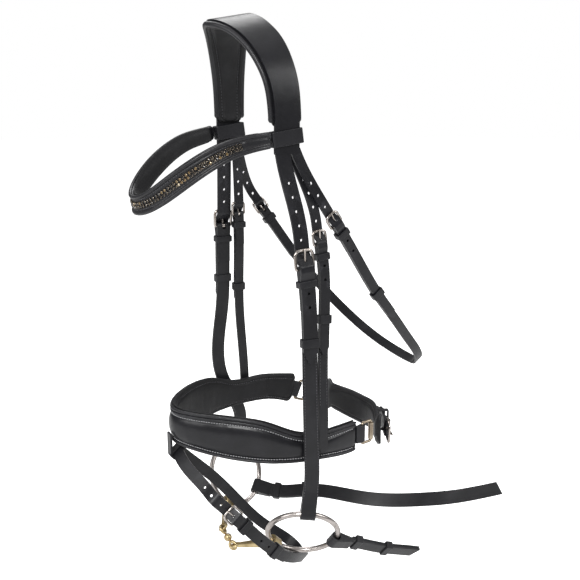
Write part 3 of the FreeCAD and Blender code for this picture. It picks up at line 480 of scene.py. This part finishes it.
def pucker(track, i, w, size, pitch):
    """Small gathers along a seam and soft lumps in the stuffing."""
    s = track.along[i]
    lump = noise.noise(Vector((s / (pitch * 2.2), w / (pitch * 2.2), 3.7)))
    gather = noise.noise(Vector((s / pitch * 1.6, w / pitch * 0.5, 9.1)))
    return size * (0.6 * lump + 0.4 * gather)


def vertical(angle):
    """Half plane direction turned about Z; 0 is forwards and 90 is the near side."""
    return (math.sin(angle), -math.cos(angle), 0.0)


def over_poll(angle):
    """Half plane direction turned about Y; 0 is up and 90 is the near side."""
    return (math.sin(angle), 0.0, math.cos(angle))


def spread(count):
    """Values from -1 to 1, closer together at both ends."""
    return [math.sin(math.pi * (k / (count - 1) - 0.5)) for k in range(count)]


# ---------------------------------------------------------------- CAD pieces that stay
def finish_cad(node, material, edge):
    """Softened edges and a material for a CAD node."""
    piece = NODES[node]
    piece.data.materials.clear()
    piece.data.materials.append(material)
    weld = piece.modifiers.new("weld", "WELD")
    weld.merge_threshold = 0.000002
    bevel = piece.modifiers.new("bevel", "BEVEL")
    bevel.width = edge
    bevel.segments = 2
    bevel.limit_method = "ANGLE"
    bevel.angle_limit = math.radians(40)
    smooth = piece.modifiers.new("normals", "WEIGHTED_NORMAL")
    smooth.keep_sharp = False
    if "custom_normal" in piece.data.attributes:
        piece.data.attributes.remove(piece.data.attributes["custom_normal"])
    piece.data.shade_smooth()


SOFT_NODES = ("headpiece_pad", "browband_leather", "browband_pad", "browband_crystals",
              "noseband_leather", "noseband_pad", "jaw_pad")
for name in sorted(NODES):
    if name in SOFT_NODES:
        continue
    if name.startswith("bit_ring"):
        finish_cad(name, RING, 0.0002)
        NODES[name].modifiers.remove(NODES[name].modifiers["bevel"])
    elif name.startswith("bit_"):
        finish_cad(name, BRONZE, 0.0004)
    elif name in ("noseband_dees", "jaw_roller"):
        finish_cad(name, DEE, 0.0003)
    elif name.endswith("_buckle") or name.endswith("_tongue"):
        finish_cad(name, STEEL, 0.0002)
    elif name == "headpiece_crown":
        finish_cad(name, GLOSS, 0.0005)
    else:
        finish_cad(name, STRAP, 0.0007)


# ---------------------------------------------------------------- poll pad
POLL = (0.0, 0.0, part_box("headpiece_crown")[1][2] - 0.096)
pad_track = Track("headpiece_pad", fan(POLL, over_poll, (0, 1, 0), -101, 101, 190))
pad_track.lengthen(0.0038, 0.0015)
PAD_CORD = 2.9 * MM


def poll_profile(i):
    """Pillow with a rolled border and a sewn channel inside each roll."""
    half, low, high = pad_track.half[i], pad_track.low[i], pad_track.high[i]
    flat = ease((abs(pad_track.place[i][0]) - 0.006) / 0.014)
    outline = [(high, w * (half - 1.6 * MM)) for w in spread(9)]
    for v in spread(43)[::-1]:
        w = v * half
        swell = (1 - abs(v) ** 3.2)
        n = high - (high - low) * (0.62 + 0.38 * swell)
        edge = ease((abs(v) - 0.9) / 0.1)
        n += (high - low) * 0.62 * edge
        for side in (-1, 1):
            n += groove(w, side * (half - 6.5 * MM), 1.3 * MM, -2.0 * MM)
        n += pucker(pad_track, i, w, 0.35 * MM * flat, 9 * MM)
        outline.append((n, w))
    return outline


poll_pad = sweep("poll_padding", pad_track, poll_profile, SOFT, "bridle")
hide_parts("headpiece_pad")
cords = []
seams = []
for side in (-1, 1):
    cords.append(pad_track.line(
        lambda i: pad_track.high[i] - 2.4 * MM,
        lambda i: side * (pad_track.half[i] - 0.4 * MM), 6, pad_track.count - 6))
    line = pad_track.line(
        lambda i: pad_track.low[i] + 2.2 * MM,
        lambda i: side * (pad_track.half[i] - 6.5 * MM), 4, pad_track.count - 4)
    seams.append((line, -pad_track.out[4:pad_track.count - 4]))
tube("poll_piping", cords, PAD_CORD, PIPING, "bridle")
stitches("poll_seams", seams, DARK_THREAD, "bridle")


# ---------------------------------------------------------------- browband
brow_cuts = fan((0.0, 0.030, 0.0), vertical, (0, 0, 1), 80, -80, 230)
brow = Track("browband_leather", brow_cuts)
lining = Track("browband_pad", brow_cuts)
CORD = 2.1 * MM
CHANNEL_START = 0.028


def in_channel(track, i):
    """1 where the stones are set and 0 on the plain ends."""
    from_end = min(track.along[i], track.length - track.along[i])
    return ease((from_end - CHANNEL_START) / 0.006)


def brow_profile(i):
    """Flat band whose middle is sunk for the stones between two soft rolls."""
    half, low, high = brow.half[i], brow.low[i], brow.high[i]
    sunk = in_channel(brow, i)
    outline = [(low, w * (half - 0.4 * MM)) for w in spread(7)]
    for v in spread(41)[::-1]:
        w = v * half
        n = high - 0.9 * MM * ease((abs(v) - 0.86) / 0.14)
        n -= 0.9 * MM * sunk * (1 - ease((abs(w) - 3.0 * MM) / (1.2 * MM)))
        n += 0.7 * MM * (1 - sunk) * (1 - v * v)
        for side in (-1, 1):
            n += groove(w, side * (half - 2 * CORD - 0.6 * MM), 0.6 * MM, 0.8 * MM)
        n += pucker(brow, i, w, 0.12 * MM, 7 * MM)
        outline.append((n, w))
    return outline


band = sweep("browband_band", brow, brow_profile, STRAP, "browband", ends=0.0015)
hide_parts("browband_leather")


def lining_profile(i):
    """Soft crowned lining inside the browband."""
    half, low, high = lining.half[i], lining.low[i], lining.high[i]
    outline = [(high, w * (half - 1.0 * MM)) for w in spread(7)]
    for v in spread(31)[::-1]:
        n = high - (high - low) * (1 - abs(v) ** 2.6) ** 0.7
        n += pucker(lining, i, v * half, 0.3 * MM, 7 * MM)
        outline.append((n, v * half))
    return outline


soft_brow = sweep("browband_lining", lining, lining_profile, SOFT, "browband")
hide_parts("browband_pad")
cords = []
seams = []
for side in (-1, 1):
    cords.append(brow.line(
        lambda i: brow.high[i] - 0.6 * MM,
        lambda i: side * (brow.half[i] - CORD + 0.7 * MM), 1, brow.count - 1))
    line = brow.line(
        lambda i: brow.high[i] - 0.4 * MM,
        lambda i: side * (brow.half[i] - 2 * CORD - 0.6 * MM), 3, brow.count - 3)
    seams.append((line, brow.out[3:brow.count - 3]))
tube("browband_piping", cords, CORD, PIPING, "browband")
stitches("browband_seams", seams, DARK_THREAD, "browband", 1.8 * MM, 2.6 * MM, 0.28 * MM)


def islands(node):
    """Centres of the loose parts of a CAD node."""
    mesh = bmesh.new()
    mesh.from_mesh(NODES[node].data)
    bmesh.ops.remove_doubles(mesh, verts=mesh.verts, dist=0.000005)
    mesh.verts.ensure_lookup_table()
    done = set()
    centres = []
    for vertex in mesh.verts:
        if vertex.index in done:
            continue
        stack = [vertex]
        group = []
        done.add(vertex.index)
        while stack:
            here = stack.pop()
            group.append(here.co.copy())
            for edge in here.link_edges:
                other = edge.other_vert(here)
                if other.index not in done:
                    done.add(other.index)
                    stack.append(other)
        low = Vector([min(p[k] for p in group) for k in range(3)])
        high = Vector([max(p[k] for p in group) for k in range(3)])
        centres.append((low + high) / 2)
    mesh.free()
    return centres


def gems():
    """Brilliant cut stones, each in a thin cup, where the CAD has its cones."""
    points, faces, cup_points, cup_faces = [], [], [], []
    for centre in islands("browband_crystals"):
        gap = np.linalg.norm(brow.place - np.array(centre), axis=1)
        i = int(gap.argmin())
        out = Vector(brow.out[i]).normalized()
        side = out.orthogonal().normalized()
        other = out.cross(side)
        spin = random.uniform(0, 0.8)
        lift = 0.35 * MM
        base = len(points)
        for radius, height, shift in ((1.15, -0.5, 0), (1.42, 0.1, 0.5), (1.3, 0.45, 0), (0.8, 0.85, 0.5)):
            for k in range(8):
                turn = spin + 2 * math.pi * (k + shift) / 8
                spoke = side * math.cos(turn) + other * math.sin(turn)
                points.append(centre + spoke * radius * MM + out * (height * MM + lift))
        for ring in range(3):
            for k in range(8):
                a, b = base + ring * 8 + k, base + ring * 8 + (k + 1) % 8
                faces.append((a, b, b + 8, a + 8))
        faces.append(tuple(range(base + 24, base + 32)))
        faces.append(tuple(range(base, base + 8))[::-1])
        base = len(cup_points)
        for radius, height in ((1.3, -0.7), (1.62, -0.2), (1.62, 0.25), (1.45, 0.3), (1.4, -0.5)):
            for k in range(12):
                turn = 2 * math.pi * k / 12
                spoke = side * math.cos(turn) + other * math.sin(turn)
                cup_points.append(centre + spoke * radius * MM + out * (height * MM + lift))
        for ring in range(4):
            for k in range(12):
                a, b = base + ring * 12 + k, base + ring * 12 + (k + 1) % 12
                cup_faces.append((a, b, b + 12, a + 12))
        cup_faces.append(tuple(range(base, base + 12))[::-1])
        cup_faces.append(tuple(range(base + 48, base + 60)))
    cut = add_mesh("browband_gems", points, faces, STONES, "browband", smooth=False)
    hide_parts("browband_crystals")
    add_mesh("browband_cups", cup_points, cup_faces, DEE, "browband")


gems()


# ---------------------------------------------------------------- noseband
nose_cuts = fan((0.0, 0.040, 0.0), vertical, (0, 0, 1), 127, -133, 330)
nose = Track("noseband_leather", nose_cuts)
inner = Track("noseband_pad", nose_cuts)
NOSE_CORD = 1.7 * MM


def fullness(track, i):
    """How much the centre panel bulges: full at the nose, flat behind the hangers."""
    return 1 - ease((track.place[i][1] - 0.045) / 0.05)


def nose_profile(i):
    """Bulging glossy panel between piped edges: two rolls above and one below."""
    half, low, high = nose.half[i], nose.low[i], nose.high[i]
    full = fullness(nose, i)
    edge = low + (2.4 * MM + 0.3 * MM * full)
    top = half - 8.2 * MM
    bottom = -half + 4.8 * MM
    outline = [(low, w * (half - 0.5 * MM)) for w in spread(9)]
    for v in spread(61)[::-1]:
        w = v * half
        share = (w - (top + bottom) / 2) / ((top - bottom) / 2)
        dome = max(0.0, 1 - abs(share) ** 2.6) if abs(share) < 1 else 0.0
        n = edge + (high - edge) * dome * (0.3 + 0.7 * full)
        n -= 1.2 * MM * ease((abs(v) - 0.93) / 0.07)
        n += groove(w, top, 0.8 * MM, 0.8 * MM) + groove(w, bottom, 0.8 * MM, 0.8 * MM)
        n += pucker(nose, i, w, 0.16 * MM * full, 12 * MM)
        outline.append((n, w))
    return outline


nose_band = sweep("noseband_panel", nose, nose_profile, GLOSS, "bridle", ends=0.003)
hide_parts("noseband_leather")


def inner_profile(i):
    """Soft lining with a rolled border; its far end is a flat stitched patch."""
    half, low, high = inner.half[i], inner.low[i], inner.high[i]
    patch = ease((inner.along[i] - inner.length + 0.040) / 0.004)
    outline = [(high, w * (half - 1.5 * MM)) for w in spread(9)]
    for v in spread(49)[::-1]:
        w = v * half
        depth = (high - low) * (1 - abs(v) ** 5) ** 0.6
        depth *= 1 - 0.34 * patch * (1 - ease((abs(v) - 0.75) / 0.2))
        depth *= 1 - 0.3 * math.exp(-((inner.along[i] - inner.length + 0.040) / 0.0016) ** 2)
        n = high - depth
        for side in (-1, 1):
            n += groove(w, side * (half - 5.0 * MM), 1.1 * MM, -1.7 * MM)
        n += pucker(inner, i, w, 0.45 * MM * (1 - patch), 10 * MM)
        outline.append((n, w))
    return outline


nose_lining = sweep("noseband_lining", inner, inner_profile, SOFT, "bridle")
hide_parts("noseband_pad")
cords = []
seams = []
for place in (1.1, 4.6):
    cords.append(nose.line(
        lambda i: nose.low[i] + 2.6 * MM, lambda i: nose.half[i] - place * MM, 1, nose.count - 1))
cords.append(nose.line(
    lambda i: nose.low[i] + 2.6 * MM, lambda i: 1.1 * MM - nose.half[i], 1, nose.count - 1))
tube("noseband_piping", cords, NOSE_CORD, PIPING, "bridle")
for place in (lambda i: nose.half[i] - 7.6 * MM, lambda i: 4.2 * MM - nose.half[i]):
    line = nose.line(lambda i: nose.low[i] + 2.85 * MM, place, 3, nose.count - 3)
    seams.append((line, nose.out[3:nose.count - 3]))
stitches("noseband_seams", seams, THREAD, "bridle", 2.0 * MM, 2.9 * MM, 0.46 * MM)
seams = []
for side in (-1, 1):
    line = inner.line(
        lambda i: inner.low[i] + 2.0 * MM, lambda i: side * (inner.half[i] - 5.0 * MM), 3, inner.count - 3)
    seams.append((line, -inner.out[3:inner.count - 3]))
stitches("noseband_lining_seams", seams, DARK_THREAD, "bridle")


# ---------------------------------------------------------------- jaw pad
jaw = Track("jaw_pad", fan((0.0, 0.110, 0.0), vertical, (0, 0, 1), 116, 246, 130))


def jaw_profile(i):
    """Thick soft pad with a rolled border behind the jaw."""
    half, low, high = jaw.half[i], jaw.low[i], jaw.high[i]
    outline = [(high, w * (half - 1.5 * MM)) for w in spread(7)]
    for v in spread(41)[::-1]:
        w = v * half
        n = high - (high - low) * (1 - abs(v) ** 4) ** 0.6
        for side in (-1, 1):
            n += groove(w, side * (half - 5.5 * MM), 1.2 * MM, -1.8 * MM)
        n += pucker(jaw, i, w, 0.5 * MM, 9 * MM)
        outline.append((n, w))
    return outline


jaw_cushion = sweep("jaw_cushion", jaw, jaw_profile, SOFT, "bridle")
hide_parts("jaw_pad")
cords = [
    jaw.line(lambda i: jaw.high[i] - 1.6 * MM, lambda i: side * (jaw.half[i] - 1.0 * MM), 2, jaw.count - 2)
    for side in (-1, 1)
]
tube("jaw_piping", cords, 1.5 * MM, PIPING, "bridle")


# ---------------------------------------------------------------- strap edges
def edge_seams(node, side, top, bottom, inset):
    """Fine stitching along both edges of a hanging strap."""
    track = Track(node, levels(side, top, bottom, 70))
    sign = 1.0 if track.out[0][0] * side > 0 else -1.0
    face = (lambda i: track.high[i] + 0.05 * MM) if sign > 0 else (lambda i: track.low[i] - 0.05 * MM)
    lines = []
    for edge in (-1, 1):
        line = track.line(face, lambda i: edge * (track.half[i] - inset))
        lines.append((line, track.out * sign))
    name = node + "_seams"
    stitches(name, lines, DARK_THREAD, "bridle", 2.2 * MM, 3.2 * MM, 0.26 * MM)


for side, name in ((1, "near"), (-1, "far")):
    edge_seams("cheekpiece_" + name, side, -0.315, -0.485, 1.8 * MM)
    edge_seams("noseband_hanger_" + name, side, -0.295, -0.385, 1.6 * MM)


# ---------------------------------------------------------------- studio
# Place in metres, power in watts and width in metres of each soft light.
SOFT_LIGHTS = (
    ((1.5, -1.2, 1.0), 30.0, 0.6),
    ((0.2, -1.9, 0.6), 16.0, 1.1),
    ((1.2, 1.3, 0.8), 16.0, 0.9),
    ((-1.2, 0.3, 1.4), 18.0, 1.2),
    ((0.0, 0.0, 2.6), 24.0, 3.0),
)
LIGHT_TARGET = (0.0, 0.05, -0.3)
CAMERA_PLACE = (0.77995, -0.3453, -0.0572)
CAMERA_AZIMUTH = 62.0
CAMERA_ELEVATION = 14.2
FLOOR_DROP = 0.02
FLOOR_RADIUS = 9.0


def studio():
    """Pale floor, soft lights and the camera."""
    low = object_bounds()[0]
    bpy.ops.mesh.primitive_circle_add(
        vertices=96, radius=FLOOR_RADIUS, fill_type="NGON", location=(0, 0, low[2] - FLOOR_DROP))
    floor = bpy.context.object
    floor.name = "floor"
    white = plain("floor_white", (0.93, 0.93, 0.93))
    tree = white.node_tree
    path = tree.nodes.new("ShaderNodeLightPath")
    shader = tree.nodes["Principled BSDF"]
    shader.inputs["Emission Color"].default_value = (1.0, 1.0, 1.0, 1.0)
    tree.links.new(remap(tree, path.outputs["Is Camera Ray"], 0.0, 0.85), shader.inputs["Emission Strength"])
    floor.data.materials.append(white)
    floor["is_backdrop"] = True
    world = bpy.data.worlds.new("studio")
    world.use_nodes = True
    tree = world.node_tree
    path = tree.nodes.new("ShaderNodeLightPath")
    fill = tree.nodes["Background"]
    seen = tree.nodes.new("ShaderNodeBackground")
    blend = tree.nodes.new("ShaderNodeMixShader")
    fill.inputs["Color"].default_value = (1.0, 1.0, 1.0, 1.0)
    fill.inputs["Strength"].default_value = 0.24
    seen.inputs["Color"].default_value = (1.0, 1.0, 1.0, 1.0)
    seen.inputs["Strength"].default_value = 1.0
    tree.links.new(path.outputs["Is Camera Ray"], blend.inputs[0])
    tree.links.new(fill.outputs[0], blend.inputs[1])
    tree.links.new(seen.outputs[0], blend.inputs[2])
    tree.links.new(blend.outputs[0], tree.nodes["World Output"].inputs["Surface"])
    bpy.context.scene.world = world
    for spot, power, size in SOFT_LIGHTS:
        data = bpy.data.lights.new("soft_light", "AREA")
        data.energy = power
        data.size = size
        light = bpy.data.objects.new("soft_light", data)
        light.location = spot
        aim = Vector(LIGHT_TARGET) - Vector(spot)
        light.rotation_euler = aim.to_track_quat("-Z", "Y").to_euler()
        bpy.context.scene.collection.objects.link(light)
    turn, rise = math.radians(CAMERA_AZIMUTH), math.radians(CAMERA_ELEVATION)
    back = Vector((math.sin(turn) * math.cos(rise), -math.cos(turn) * math.cos(rise), math.sin(rise)))
    data = bpy.data.cameras.new("camera")
    data.lens = 50.0
    data.sensor_width = 36.0
    camera = bpy.data.objects.new("camera", data)
    camera.location = CAMERA_PLACE
    camera.rotation_euler = back.to_track_quat("Z", "Y").to_euler()
    bpy.context.scene.collection.objects.link(camera)
    bpy.context.scene.camera = camera
    bpy.context.scene.view_settings.view_transform = "Standard"


studio()
